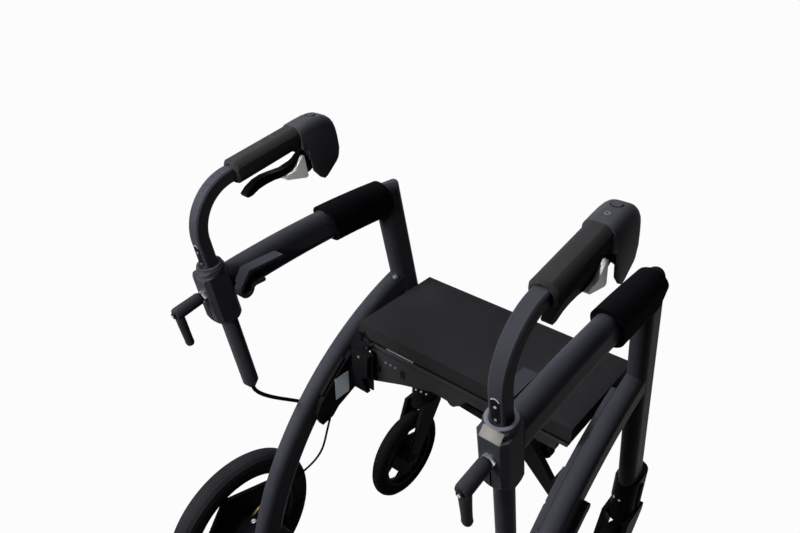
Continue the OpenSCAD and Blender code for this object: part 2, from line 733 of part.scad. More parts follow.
module cross_arm_b() {
  color([0.10, 0.10, 0.11]) placed() difference() {
    translate([0, arm_y1 + arm_t, 0]) frontal() linear_extrude(arm_t) {
      translate([arm_x, arm_z]) circle(d = 30);
      polygon([[arm_x, arm_z - 15], [arm_x, arm_z + 15], [0, centre_z + 13], [-40, centre_z + 12],
        [-46, centre_z + 4], [-40, centre_z - 7], [0, centre_z - 15]]);
    }
    for (c = [[0, centre_z], [arm_x, arm_z]])
      translate([c[0], arm_y1 - 1, c[1]]) rotate([-90, 0, 0]) cylinder(d = pin_d + 2 * pin_gap, h = arm_t + 2);
  }
}

// Seat

module seat_board() {
  color([0.14, 0.14, 0.15]) placed() {
    difference() {
      translate([-seat_half + 6, seat_rear_y + 2, board_z])
        cube([2 * seat_half - 12, seat_front_y - seat_rear_y - 4, board_t]);
      translate([-seat_half, seat_rear_y, board_z]) rotate([-35, 0, 0]) translate([0, -20, -10])
        cube([2 * seat_half, 20, 30]);
    }
    // hinge ears at both ends
    difference() {
      for (y = [seat_rear_y - 4, seat_front_y]) translate([0, y + 4, 0]) frontal() linear_extrude(4) {
        translate([-hinge_x, hinge_z]) circle(d = 15);
        polygon([[-hinge_x - 7, hinge_z], [-hinge_x + 7, hinge_z], [-hinge_x + 26, board_z],
          [-hinge_x - 4, board_z]]);
      }
      translate([-hinge_x, seat_rear_y - 20, hinge_z]) rotate([-90, 0, 0])
        cylinder(d = 7 + 2 * pin_gap, h = seat_front_y - seat_rear_y + 40);
    }
    for (y = [seat_rear_y - 4, seat_front_y - 2]) translate([-hinge_x - 4, y, board_z]) cube([30, 6, 6]);
  }
}

// crowned cushion: a grid of heights that falls away to rounded edges
pad_nx = 14;
pad_ny = 10;
function pad_edge(t) = pow(abs(t), 6);
function pad_pt(i, j, top) = let (u = 2 * i / pad_nx - 1, v = 2 * j / pad_ny - 1,
    s = max(pad_edge(u), pad_edge(v)), k = 1 - 0.016 * abs(v) * abs(v), m = 1 - 0.02 * abs(u) * abs(u))
  [u * seat_half * k, (seat_front_y + seat_rear_y) / 2 + v * (seat_front_y - seat_rear_y) / 2 * m,
    top ? seat_z - 2.5 * s + pad_crown * (1 - u * u) * (1 - v * v) : board_z + board_t];

module seat_pad() {
  color([0.15, 0.15, 0.16]) placed() {
    nx = pad_nx + 1;
    n = nx * (pad_ny + 1);
    pts = concat([for (j = [0 : pad_ny]) for (i = [0 : pad_nx]) pad_pt(i, j, true)],
      [for (j = [0 : pad_ny]) for (i = [0 : pad_nx]) pad_pt(i, j, false)]);
    top = [for (j = [0 : pad_ny - 1]) for (i = [0 : pad_nx - 1]) let (a = j * nx + i)
      for (f = [[a, a + nx, a + 1], [a + 1, a + nx, a + nx + 1]]) f];
    low = [for (j = [0 : pad_ny - 1]) for (i = [0 : pad_nx - 1]) let (a = n + j * nx + i)
      for (f = [[a, a + 1, a + nx], [a + 1, a + nx + 1, a + nx]]) f];
    rim_ij = concat([for (i = [0 : pad_nx]) i], [for (j = [1 : pad_ny]) j * nx + pad_nx],
      [for (i = [pad_nx - 1 : -1 : 0]) pad_ny * nx + i], [for (j = [pad_ny - 1 : -1 : 1]) j * nx]);
    m = len(rim_ij);
    side = [for (k = [0 : m - 1]) let (a = rim_ij[k], b = rim_ij[(k + 1) % m])
      for (f = [[a, b, b + n], [a, b + n, a + n]]) f];
    polyhedron(pts, concat(top, low, side), convexity = 4);
  }
}

// Named pieces

coat = [0.12, 0.13, 0.16];
black = [0.09, 0.09, 0.10];
zinc = [0.72, 0.74, 0.76];
rubber = [0.14, 0.14, 0.15];
grey = [0.58, 0.58, 0.57];

module right_rail() { color(coat) placed() rail(); }
module right_leg() { color(coat) placed() leg(); }
module right_sweep_tube() { color(coat) placed() sweep_tube(); }
module right_sleeve() { color(black) placed() sleeve(sleeve_shift); }
module right_clamp() { color(coat) placed() clamp(); }
module right_stud() { color(zinc) placed() stud(); }
module right_hook() { color(black) placed() hook(); }
module right_side_plate() { color(black) placed() side_plate(sweep_start + 5, false); }
module right_arm_bracket() { color(black) placed() right_strut(); }
module right_cable_duct() { color(black) placed() cable_duct(); }
module right_rear_hub() { color(black) placed() rear_hub(); }
module right_caster_head() { color(black) placed() caster_head(); }
module right_brake_cable() { color(black) placed() cord(cable_path, cable_d); }
module right_post() { color(coat) placed() post(); }
module right_handle_tube() { color(coat) placed() handle_tube(); }
module right_grip() { color(rubber) placed() grip(); }
module right_brake_housing() { color(black) placed() brake_housing(); }
module right_brake_lever() { color(black) placed() brake_lever(); }
module right_lever_saddle() { color(grey) placed() lever_saddle(); }
module right_button() { color(rubber) placed() button(); }
module right_clamp_lever() { color(black) placed() clamp_lever(); }
module right_rear_rim() { color(black) placed() rear_rim(); }
module right_rear_tyre() { color(rubber) placed() rear_tyre(); }
module right_fork() { color(black) placed() fork(); }
module right_caster_rim() { color(black) placed() caster_rim(); }
module right_caster_tyre() { color(rubber) placed() caster_tyre(); }

module left_rail() { color(coat) mirrored() rail(); }
module left_leg() { color(coat) mirrored() leg(); }
module left_sweep_tube() { color(coat) mirrored() sweep_tube(); }
module left_sleeve() { color(black) mirrored() sleeve(0); }
module left_clamp() { color(coat) mirrored() clamp(); }
module left_stud() { color(zinc) mirrored() stud(); }
module left_hook() { color(black) mirrored() hook(); }
module left_side_plate() { color(black) mirrored() side_plate(126, true); }
module left_arm_bracket() { color(black) mirrored() left_bracket(); }
module left_cable_duct() { color(black) mirrored() cable_duct(); }
module left_rear_hub() { color(black) mirrored() rear_hub(); }
module left_caster_head() { color(black) mirrored() caster_head(); }
module left_box() { color(black) placed() small_box(); }
module left_hub_lead() { color(black) placed() cord(lead_path, lead_d); }
module left_brake_cable() { color(black) mirrored() cord(cable_path, cable_d); }
module seat_hinge() { color(black) placed() hinge_plates(); }
module left_post() { color(coat) mirrored() post(); }
module left_handle_tube() { color(coat) mirrored() handle_tube(); }
module left_grip() { color(rubber) mirrored() grip(); }
module left_brake_housing() { color(black) mirrored() brake_housing(); }
module left_brake_lever() { color(black) mirrored() brake_lever(); }
module left_lever_saddle() { color(grey) mirrored() lever_saddle(); }
module left_button() { color(rubber) mirrored() button(); }
module left_clamp_lever() { color(black) mirrored() clamp_lever(); }
module left_rear_rim() { color(black) mirrored() rear_rim(); }
module left_rear_tyre() { color(rubber) mirrored() rear_tyre(); }
module left_fork() { color(black) mirrored() fork(); }
module left_caster_rim() { color(black) mirrored() caster_rim(); }
module left_caster_tyre() { color(rubber) mirrored() caster_tyre(); }

left_rail();
left_leg();
left_sweep_tube();
left_sleeve();
left_clamp();
left_stud();
left_hook();
left_side_plate();
left_arm_bracket();
left_cable_duct();
left_rear_hub();
left_caster_head();
left_box();
left_hub_lead();
left_brake_cable();
seat_hinge();
left_post();
left_handle_tube();
left_grip();
left_brake_housing();
left_brake_lever();
left_lever_saddle();
left_button();
left_clamp_lever();
left_rear_rim();
left_rear_tyre();
left_fork();
left_caster_rim();
left_caster_tyre();
right_rail();
right_leg();
right_sweep_tube();
right_sleeve();
right_clamp();
right_stud();
right_hook();
right_side_plate();
right_arm_bracket();
right_cable_duct();
right_rear_hub();
right_caster_head();
right_brake_cable();
right_post();
right_handle_tube();
right_grip();
right_brake_housing();
right_brake_lever();
right_lever_saddle();
right_button();
right_clamp_lever();
right_rear_rim();
right_rear_tyre();
right_fork();
right_caster_rim();
right_caster_tyre();
cross_arm_a();
cross_arm_b();
seat_board();
seat_pad();
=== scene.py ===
# %% [markdown]
# # A rollator transport chair
# The chair stands on two rear wheels and two swivel casters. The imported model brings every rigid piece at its
# real size and place, in metres. This lesson dresses it: camera and light first, then the finishes and softened edges,
# the cables, the seat pad, the brake housings, the clamp levers and the small fittings.

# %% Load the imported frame
import math
import bmesh
import bpy
from mathutils import Matrix, Vector


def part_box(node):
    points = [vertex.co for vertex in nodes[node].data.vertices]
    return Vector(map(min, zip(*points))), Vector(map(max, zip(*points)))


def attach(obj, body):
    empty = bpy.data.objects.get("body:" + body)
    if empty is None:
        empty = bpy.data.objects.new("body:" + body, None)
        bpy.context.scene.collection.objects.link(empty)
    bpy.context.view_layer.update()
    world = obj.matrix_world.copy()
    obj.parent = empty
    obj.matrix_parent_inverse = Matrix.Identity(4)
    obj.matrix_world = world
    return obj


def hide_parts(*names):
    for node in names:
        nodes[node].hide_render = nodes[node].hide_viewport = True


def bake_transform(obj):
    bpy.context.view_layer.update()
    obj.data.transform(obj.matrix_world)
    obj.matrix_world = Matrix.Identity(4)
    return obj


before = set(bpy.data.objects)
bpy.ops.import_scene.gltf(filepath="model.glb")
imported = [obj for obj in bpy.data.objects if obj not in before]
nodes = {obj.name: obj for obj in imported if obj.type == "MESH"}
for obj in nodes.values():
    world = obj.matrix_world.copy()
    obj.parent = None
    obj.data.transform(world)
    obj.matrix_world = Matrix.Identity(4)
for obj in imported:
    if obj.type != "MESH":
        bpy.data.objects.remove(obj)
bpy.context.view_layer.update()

# %% [markdown]
# ## The camera
# The picture was taken from behind the chair's right side and above, with a slightly wide lens. Working back from
# the two rails, which are parallel and equally long, gives one place for the camera, so it is not moved by eye.

# %% Place the camera
CAMERA_PLACE = (0.5004, -0.6739, 1.2774)
CAMERA_TILT, CAMERA_TURN = math.radians(59.79), math.radians(40.11)
scene = bpy.context.scene
camera_data = bpy.data.cameras.new("camera")
camera_data.sensor_width = 36
camera_data.lens = 31.2
camera = bpy.data.objects.new("camera", camera_data)
scene.collection.objects.link(camera)
camera.location = CAMERA_PLACE
camera.rotation_euler = (CAMERA_TILT, 0, CAMERA_TURN)
scene.camera = camera
print("camera at", CAMERA_PLACE, "lens", round(camera_data.lens, 1), "mm")

# %% [markdown]
# ## What the camera sees as white
# The chair is black and the paper behind it is white, so one exposure can't be made with lamps alone. Rays that come
# from the camera, from a gloss or through glass see white, and all others see the real room. Light Path tells them
# apart, and two short helpers build the small networks that the rest of the lesson uses.

# %% Tell direct rays from the others
scene.view_settings.view_transform = "Standard"


def link(tree, a, b):
    tree.links.new(a, b)


def maths(tree, operation, a, b):
    """A math node on two sockets or numbers."""
    node = tree.nodes.new("ShaderNodeMath")
    node.operation = operation
    for socket, value in zip(node.inputs, (a, b)):
        if isinstance(value, (int, float)):
            socket.default_value = value
        else:
            link(tree, value, socket)
    return node.outputs[0]


def seen_directly(tree):
    rays = tree.nodes.new("ShaderNodeLightPath").outputs
    seen = maths(tree, "MAXIMUM", rays["Is Camera Ray"], rays["Is Transmission Ray"])
    return maths(tree, "MAXIMUM", seen, rays["Is Glossy Ray"])


def mixed(tree, share, first, second, output):
    """Send a mix of two shaders to a new output node."""
    mix = tree.nodes.new("ShaderNodeMixShader")
    link(tree, share, mix.inputs["Fac"])
    link(tree, first.outputs[0], mix.inputs[1])
    link(tree, second.outputs[0], mix.inputs[2])
    link(tree, mix.outputs[0], tree.nodes.new(output).inputs["Surface"])


print("view transform:", scene.view_settings.view_transform)

# %% [markdown]
# ## The world
# The room round the chair is dim and a little blue, like a grey studio with a window. A brighter room would wash the
# blacks out, because it lights every side at once, so most of the light is left to the lamps.

# %% Make the world
ROOM_LIGHT = 0.06
world = bpy.data.worlds.new("studio")
scene.world = world
world.use_nodes = True
tree = world.node_tree
tree.nodes.clear()
room = tree.nodes.new("ShaderNodeBackground")
room.inputs["Color"].default_value = (0.86, 0.9, 1, 1)
room.inputs["Strength"].default_value = ROOM_LIGHT
white = tree.nodes.new("ShaderNodeBackground")
white.inputs["Strength"].default_value = 1.0
mixed(tree, seen_directly(tree), room, white, "ShaderNodeOutputWorld")
print("room light", ROOM_LIGHT)

# %% [markdown]
# ## The floor
# A sheet of pale paper runs far behind the chair, so that its edge stays out of the picture. It glows white to direct
# rays and is a dull grey to the lamps. A small share of the real paper is left in, and that share keeps the shadow.

# %% Lay the floor
GLOW_SHARE = 0.97
bpy.ops.object.select_all(action="DESELECT")
bpy.ops.mesh.primitive_plane_add(size=60, location=(0, 8, 0))
floor = bpy.context.object
floor.name = "floor"
paper = bpy.data.materials.new("pale_paper")
paper.use_nodes = True
tree = paper.node_tree
tree.nodes.clear()
matte = tree.nodes.new("ShaderNodeBsdfDiffuse")
matte.inputs["Color"].default_value = (0.07, 0.07, 0.07, 1)
glow = tree.nodes.new("ShaderNodeEmission")
glow.inputs["Strength"].default_value = 1.0
mixed(tree, maths(tree, "MULTIPLY", seen_directly(tree), GLOW_SHARE), matte, glow, "ShaderNodeOutputMaterial")
floor.data.materials.append(paper)
print("floor of", floor.dimensions.x, "m")

# %% [markdown]
# ## The lamps
# Black satin things show their form by one bright side. A big soft lamp overhead gives the pale line along every tube,
# one behind on the left opens the handles, a weak narrow one fills the left frame, and a cool one rims the far side.

# %% Hang the lamps
def lamp(name, place, aim, size, power, colour=(1, 1, 1), spread=180):
    data = bpy.data.lights.new(name, "AREA")
    data.shape = "RECTANGLE"
    data.size, data.size_y = size
    data.energy = power
    data.color = colour
    data.spread = math.radians(spread)
    thing = bpy.data.objects.new(name, data)
    scene.collection.objects.link(thing)
    thing.location = place
    thing.rotation_euler = (Vector(aim) - Vector(place)).to_track_quat("-Z", "Y").to_euler()
    print(name, power, "W")


lamp("overhead", (-0.4, 0.4, 3.2), (0, 0, 0.6), (2.2, 1.8), 66, (0.93, 0.95, 1.0))
lamp("rear_left", (-1.25, -1.35, 2.05), (0, 0, 0.7), (0.9, 1.0), 105, (0.95, 0.97, 1.0))
lamp("left_fill", (0.1, -2.5, 1.7), (-0.32, 0, 0.78), (0.5, 0.5), 3, (1.0, 0.99, 0.97), 34)
lamp("far_side", (-2.4, 3.0, 2.4), (0, 0, 0.7), (2.0, 1.4), 64, (0.86, 0.9, 1.0))

# %% [markdown]
# ## Helpers for modelling
# Every piece is modelled in the chair's own frame. A handle leans ten degrees with its post, so its pieces are drawn
# in the post's frame, forward along Y and up along Z, and one matrix carries them to the chair.

# %% Sizes shared with the solids, in millimetres, and the post's frame
MID = -15.35  # the drawing's Y at the middle of the chair
SIDE, POST_Y, POST_Z, LEAN = 240, -220, 786, 10.1  # where each post stands, and its lean in degrees
GRIP_V, GRIP_F1 = 117, 191  # the grip's height over the post's origin, and its front end
SIDES = ((-1, "left"), (1, "right"))


def mm(x, y, z):
    """A place in the drawing, in the chair's frame and in metres."""
    return Vector((x, y - MID, z)) / 1000


def post_matrix(side):
    """From a post's frame to the chair's."""
    return Matrix.Translation(mm(side * SIDE, POST_Y, POST_Z)) @ Matrix.Rotation(math.radians(LEAN), 4, "X")


print("posts", 2 * SIDE, "mm apart, leaning", LEAN, "degrees")

# %% [markdown]
# ## Small tools for modelling
# Modelling by hand repeats a few moves: start from a primitive, pick faces, round edges, cut, and settle the piece
# into the chair's frame. Each move is a function of a few lines here, so that the cells below read like the steps.

# %% Tools for modelling
def deselect():
    if bpy.context.object and bpy.context.object.mode != "OBJECT":
        bpy.ops.object.mode_set(mode="OBJECT")
    bpy.ops.object.select_all(action="DESELECT")


def pick(thing):
    deselect()
    thing.select_set(True)
    bpy.context.view_layer.objects.active = thing


def start(add, name, **size):
    """A new primitive under that name."""
    deselect()
    add(**size)
    thing = bpy.context.object
    thing.name = thing.data.name = name
    return thing


def apply_modifiers(thing):
    pick(thing)
    for m in list(thing.modifiers):
        bpy.ops.object.modifier_apply(modifier=m.name)


def settle(thing, matrix=None):
    """Apply the object's transform, then move its mesh by the matrix."""
    pick(thing)
    bpy.ops.object.transform_apply(location=True, rotation=True, scale=True)
    if matrix is not None:
        thing.data.transform(matrix)
        if matrix.determinant() < 0:
            thing.data.flip_normals()
    thing.data.update()


def edit_select(thing, test, kind="face"):
    """Enter edit mode with the faces or edges selected that pass the test."""
    pick(thing)
    bpy.ops.object.mode_set(mode="EDIT")
    bpy.ops.mesh.select_mode(type=kind.upper())
    bpy.ops.mesh.select_all(action="DESELECT")
    b = bmesh.from_edit_mesh(thing.data)
    if kind == "face":
        for f in b.faces:
            f.select = test(f.calc_center_median(), f.normal)
    else:
        for e in b.edges:
            e.select = test(e.verts[0].co, e.verts[1].co)
    b.select_flush_mode()
    bmesh.update_edit_mesh(thing.data)


def bevel(thing, width, segments=3, angle=35):
    m = thing.modifiers.new("rounded", "BEVEL")
    m.width, m.segments, m.limit_method = width, segments, "ANGLE"
    m.angle_limit = math.radians(angle)
    m.use_clamp_overlap = True
    apply_modifiers(thing)


def smooth(thing, angle=40):
    pick(thing)
    bpy.ops.object.shade_smooth_by_angle(angle=math.radians(angle))


def plate(name, outline, thick, low=0.0):
    """A flat piece with that outline in YZ (millimetres), thick along X from low."""
    thing = start(bpy.ops.mesh.primitive_circle_add, name, vertices=len(outline), radius=1, fill_type="NGON")
    for v, (y, z) in zip(thing.data.vertices, outline):
        v.co = Vector((low, y, z)) / 1000
    pick(thing)
    bpy.ops.object.mode_set(mode="EDIT")
    bpy.ops.mesh.select_all(action="SELECT")
    bpy.ops.mesh.extrude_region_move(TRANSFORM_OT_translate={"value": (thick / 1000, 0, 0)})
    bpy.ops.mesh.select_all(action="SELECT")
    bpy.ops.mesh.normals_make_consistent(inside=False)
    bpy.ops.object.mode_set(mode="OBJECT")
    return thing


def cut(thing, cutter):
    m = thing.modifiers.new("cut", "BOOLEAN")
    m.object, m.operation, m.solver = cutter, "DIFFERENCE", "EXACT"
    apply_modifiers(thing)
    bpy.data.objects.remove(cutter)


def drill(thing, radius, depth, place, turn=(0, 0, 0), sides=48):
    """Cut a round hole whose middle is at that place."""
    bit = start(bpy.ops.mesh.primitive_cylinder_add, "bit", vertices=sides, radius=radius, depth=depth, location=place,
                rotation=turn)
    settle(bit)
    cut(thing, bit)


def faces_up(centre, normal):
    return normal.z > 0.9


def faces_down(centre, normal):
    return normal.z < -0.9


def step(thing, test, rim, move):
    """Inset the faces that pass the test by the rim, and move what lies inside it along Z."""
    edit_select(thing, test)
    bpy.ops.mesh.inset(thickness=rim, depth=0)
    bpy.ops.mesh.extrude_region_move(TRANSFORM_OT_translate={"value": (0, 0, move)})
    bpy.ops.object.mode_set(mode="OBJECT")


def dress(thing, body, finish, slot, *replaced):
    """Give a piece its finish and body, and hide the solids that it stands for; slot is not used."""
    thing.data.materials.clear()
    thing.data.materials.append(finish)
    if replaced:
        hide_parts(*replaced)
    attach(thing, body)
    return thing


print("tools ready")

# %% [markdown]
# ## Finishes
# Each finish is a small network on Object coordinates: a slow cloud for tone, a fine grain for bump, and roughness that
# wanders a little. What never varies is set on the shader itself, because an exported model keeps only that.

# %% One recipe for all finishes
WANDER = 0.08  # how far the roughness strays


def finish(name, dark, light, rough, grain, bump, cloud=6.0, spec=0.5, metal=0.0, cells=False):
    """A clouded, grained material; rough is its middle roughness, cells asks for a leather-like grain."""
    m = bpy.data.materials.new(name)
    m.use_nodes = True
    t = m.node_tree
    shader = t.nodes["Principled BSDF"]
    shader.inputs["Specular IOR Level"].default_value = spec
    shader.inputs["Metallic"].default_value = metal
    place = t.nodes.new("ShaderNodeTexCoord")
    slow = t.nodes.new("ShaderNodeTexNoise")
    slow.inputs["Scale"].default_value = cloud
    slow.inputs["Detail"].default_value = 4
    link(t, place.outputs["Object"], slow.inputs["Vector"])
    tone = t.nodes.new("ShaderNodeValToRGB")
    tone.color_ramp.elements[0].position, tone.color_ramp.elements[1].position = 0.35, 0.65
    tone.color_ramp.elements[0].color = (*dark, 1)
    tone.color_ramp.elements[1].color = (*light, 1)
    link(t, slow.outputs["Fac"], tone.inputs["Fac"])
    link(t, tone.outputs["Color"], shader.inputs["Base Color"])
    if cells:
        fine = t.nodes.new("ShaderNodeTexVoronoi")
        fine.inputs["Scale"].default_value = grain
        height = fine.outputs["Distance"]
    else:
        fine = t.nodes.new("ShaderNodeTexNoise")
        fine.inputs["Scale"].default_value = grain
        fine.inputs["Detail"].default_value = 3
        height = fine.outputs["Fac"]
    link(t, place.outputs["Object"], fine.inputs["Vector"])
    lift = t.nodes.new("ShaderNodeBump")
    lift.inputs["Strength"].default_value = bump
    lift.inputs["Distance"].default_value = 0.0006
    link(t, height, lift.inputs["Height"])
    link(t, lift.outputs["Normal"], shader.inputs["Normal"])
    wander = t.nodes.new("ShaderNodeMapRange")
    wander.inputs["To Min"].default_value = rough - WANDER
    wander.inputs["To Max"].default_value = rough + WANDER
    link(t, slow.outputs["Fac"], wander.inputs["Value"])
    link(t, wander.outputs["Result"], shader.inputs["Roughness"])
    return m


print("one recipe, roughness strays by", WANDER)

# %% [markdown]
# ## The chair's materials
# Nearly everything is black, so the finishes differ in tone by little and in grain by more: powder coat, foam, moulded
# plastic, rubber and vinyl. The reflected level is kept very low, because white paper all round would turn it grey.

# %% Mix the finishes
COAT = ((0.0225, 0.0229, 0.0272), (0.0295, 0.03, 0.0352), 0.36, 900, 0.10)
coat = finish("charcoal_powder_coat", *COAT, spec=0.004)
clamp_coat = finish("clamp_powder_coat", (0.0225, 0.0228, 0.0268), (0.0295, 0.0298, 0.0345), 0.42, 700, 0.14,
                    spec=0.004)
foam = finish("foam_sleeve", (0.0024, 0.0024, 0.003), (0.0038, 0.0038, 0.0045), 0.88, 1400, 0.5, spec=0.004)
grip_foam = finish("grip_foam", (0.0165, 0.0165, 0.0165), (0.0225, 0.0225, 0.0225), 0.82, 1200, 0.55, spec=0.003)
plastic = finish("black_moulding", (0.0035, 0.0035, 0.004), (0.006, 0.006, 0.0066), 0.42, 1600, 0.18, spec=0.004)
housing_plastic = finish("housing_moulding", (0.026, 0.0264, 0.030), (0.034, 0.0345, 0.039), 0.34, 1500, 0.12,
                         spec=0.003)
gloss = finish("gloss_lever", (0.0022, 0.0022, 0.0026), (0.0034, 0.0034, 0.004), 0.26, 500, 0.05, spec=0.004)
grey = finish("pale_grey_saddle", (0.74, 0.725, 0.70), (0.88, 0.865, 0.84), 0.5, 900, 0.35, spec=0.6)
zinc = finish("bright_zinc", (0.36, 0.38, 0.42), (0.52, 0.54, 0.58), 0.3, 700, 0.2, metal=1.0)
steel = finish("black_brace", (0.004, 0.004, 0.0045), (0.0065, 0.0065, 0.007), 0.5, 800, 0.2, spec=0.004)
hub = finish("hub_shell", (0.004, 0.004, 0.0045), (0.0065, 0.0065, 0.007), 0.42, 900, 0.15, spec=0.005)
jacket = finish("cable_jacket", (0.003, 0.003, 0.0033), (0.0045, 0.0045, 0.005), 0.5, 900, 0.1, spec=0.004)
tyre = finish("tyre_rubber", (0.009, 0.009, 0.0098), (0.015, 0.015, 0.016), 0.75, 700, 0.4, spec=0.006)
# the casters' rubber is the tyre rubber made darker: painted shade, for the shade that the seat and the wheels cast on
# them
caster_tyre = finish("caster_rubber", (0.0034, 0.0034, 0.0038), (0.0058, 0.0058, 0.0063), 0.75, 700, 0.4, spec=0.004)
vinyl = finish("seat_vinyl", (0.0104, 0.0103, 0.0108), (0.014, 0.0138, 0.0145), 0.62, 950, 0.55, spec=0.004, cells=True)
panel = finish("brace_panel", (0.0145, 0.0145, 0.0152), (0.0205, 0.0205, 0.0215), 0.5, 900, 0.16, spec=0.004)
rim = finish("rim_moulding", (0.0022, 0.0022, 0.0026), (0.0038, 0.0038, 0.0043), 0.45, 1400, 0.15, spec=0.004)
brass = finish("brass_ferrule", (0.42, 0.30, 0.12), (0.55, 0.40, 0.17), 0.32, 600, 0.15, metal=1.0)
# a pale, warm finish for the painted highlight on the right clamp's chamfer
painted_highlight_finish = finish("rubbed_edge", (0.085, 0.079, 0.069), (0.15, 0.14, 0.125), 0.42, 260, 0.25, spec=0.15, cloud=60)
# a pale copy of the coat: the pale heads of the rivets and the jack, and painted highlight on the right collar crown
# and the weld bead
pale_coat = finish("pale_coat", (0.075, 0.076, 0.092), (0.1, 0.101, 0.12), 0.5, 500, 0.2, spec=0.05)
knob = finish("satin_knob", (0.016, 0.016, 0.018), (0.023, 0.023, 0.0255), 0.4, 900, 0.12, spec=0.006)
blank_label = finish("blank_label", (0.46, 0.52, 0.58), (0.58, 0.64, 0.70), 0.45, 300, 0.05, spec=0.3)
print("finishes:", len(bpy.data.materials))

# %% [markdown]
# ## Which solid gets which finish
# A left and a right piece are the same thing twice, so the table below goes by kind, without the side. Solids that are
# drawn again later get their finish too, since they are still part of the model.

# %% Give every solid its finish
def kind_of(name):
    return name.replace("left_", "").replace("right_", "")


finish_of = {"rail": coat, "leg": coat, "sweep_tube": coat, "post": coat, "handle_tube": coat, "clamp": clamp_coat,
             "sleeve": foam, "grip": grip_foam, "stud": zinc, "hook": coat, "side_plate": plastic,
             "cable_duct": plastic, "caster_head": plastic, "brake_housing": housing_plastic, "button": housing_plastic,
             "clamp_lever": knob, "rear_rim": rim, "fork": plastic, "caster_rim": rim, "brake_lever": gloss,
             "lever_saddle": grey, "arm_bracket": steel, "rear_hub": hub, "brake_cable": jacket, "rear_tyre": tyre,
             "caster_tyre": caster_tyre, "box": plastic, "hub_lead": jacket, "seat_hinge": steel, "cross_arm_a": panel,
             "cross_arm_b": steel, "seat_board": panel, "seat_pad": vinyl}
for name, thing in nodes.items():
    thing.data.materials.clear()
    thing.data.materials.append(finish_of[kind_of(name)])
nodes["right_side_plate"].data.materials[0] = coat  # the right strip is painted with its tube
print("dressed", len(nodes), "solids in", len(set(finish_of.values())), "finishes")

# %% [markdown]
# ## Solids in two finishes
# The stud is bright at its hexagon and has a dark cap at its far end. The right foam covers the elbow's crown, so the
# tubes under it turn dark there. Both need one material that changes at a place, which a comparison on Object
# coordinates gives: the coordinate is tested against a limit, and the result mixes two colours.

# %% Change the finish at a place
CAP_LINE, FOAM_LINE, ELBOW_LINE = -0.262, 0.772, 0.13  # metres: Y of the cap, Z and Y of the covered elbow


def beyond(tree, axis, limit):
    split = tree.nodes.new("ShaderNodeSeparateXYZ")
    link(tree, tree.nodes.new("ShaderNodeTexCoord").outputs["Object"], split.inputs[0])
    return maths(tree, "GREATER_THAN", split.outputs[axis], limit)


def two_colours(tree, share, own, other, colour):
    """Mix the shader's own colour, on input own, with another on input other."""
    shader = tree.nodes["Principled BSDF"]
    shade = tree.nodes.new("ShaderNodeMixRGB")
    shade.inputs[other].default_value = colour
    link(tree, share, shade.inputs[0])
    link(tree, shader.inputs["Base Color"].links[0].from_socket, shade.inputs[own])
    link(tree, shade.outputs[0], shader.inputs["Base Color"])
    return shader


dark_cap = finish("stud_with_cap", (0.66, 0.68, 0.72), (0.84, 0.86, 0.9), 0.3, 700, 0.2, metal=1.0)
tree = dark_cap.node_tree
ahead = beyond(tree, "Y", CAP_LINE)
shader = two_colours(tree, ahead, 2, 1, (0.006, 0.006, 0.007, 1))
link(tree, ahead, shader.inputs["Metallic"])
shader.inputs["Specular IOR Level"].default_value = 0.02
nodes["left_stud"].data.materials[0] = nodes["right_stud"].data.materials[0] = dark_cap

elbow = finish("coat_under_foam", *COAT, spec=0.004)
tree = elbow.node_tree
covered = maths(tree, "MULTIPLY", beyond(tree, "Z", FOAM_LINE), beyond(tree, "Y", ELBOW_LINE))
two_colours(tree, covered, 1, 2, (0.004, 0.004, 0.0045, 1))
nodes["right_rail"].data.materials[0] = nodes["right_leg"].data.materials[0] = elbow
print("two-colour finishes:", dark_cap.name, elbow.name)

# %% [markdown]
# ## Softened edges on the solids
# A real casting or moulding never has a knife edge. The solids arrive as loose triangles, so a Weld modifier joins
# them, a small Bevel rounds each hard edge, and Weighted Normal keeps the flats flat.

# %% Round the hard edges
edge_mm = {"clamp": 1.6, "hook": 1.2, "side_plate": 1.0, "cable_duct": 2.0, "caster_head": 2.5,
           "fork": 1.6, "rear_rim": 1.2, "caster_rim": 1.0, "brake_lever": 1.8, "lever_saddle": 1.2, "arm_bracket": 0.8,
           "rear_hub": 2.0, "box": 1.6, "seat_hinge": 0.6, "cross_arm_a": 1.2, "cross_arm_b": 0.8, "seat_board": 2.0,
           "sleeve": 3.0, "grip": 9.0, "button": 1.0}
rounded = 0
for name, thing in nodes.items():
    kind = kind_of(name)
    if kind not in edge_mm:
        continue
    rounded += 1
    thing.data.polygons.foreach_set("use_smooth", [True] * len(thing.data.polygons))
    w = thing.modifiers.new("joined", "WELD")
    w.merge_threshold = 0.00002
    b = thing.modifiers.new("rounded", "BEVEL")
    b.width, b.limit_method = edge_mm[kind] / 1000, "ANGLE"
    if kind == "grip":  # soft foam: round all over, without flats
        b.segments, b.angle_limit = 6, math.radians(12)
    else:
        b.segments, b.angle_limit = 2, math.radians(38)
        thing.modifiers.new("flats", "WEIGHTED_NORMAL")
print("rounded", rounded, "solids")

# %% [markdown]
# ## Drawing a cord
# A cord is a thing of fixed length on a smooth path. A few points are joined by a spline that passes through all of
# them, and the path is given a round section. The curved tube is part of a circle, so places on it go by angle.

# %% Tools for cords
SWEEP_R = 548
DUCT_ANGLE = 137  # where the cables meet the curved tube, in degrees
top_end, low_end = Vector((201.1, 585.5)), Vector((-200.7, 161))
chord = top_end - low_end
across = Vector((chord.y, -chord.x)).normalized()
BEND = (top_end + low_end) / 2 + math.sqrt(SWEEP_R ** 2 - (chord.length / 2) ** 2) * across


def on_post(f, v):
    """A place in the right post's frame, in the drawing."""
    c, s = math.cos(math.radians(LEAN)), math.sin(math.radians(LEAN))
    return (SIDE, POST_Y + f * c - v * s, POST_Z + f * s + v * c)


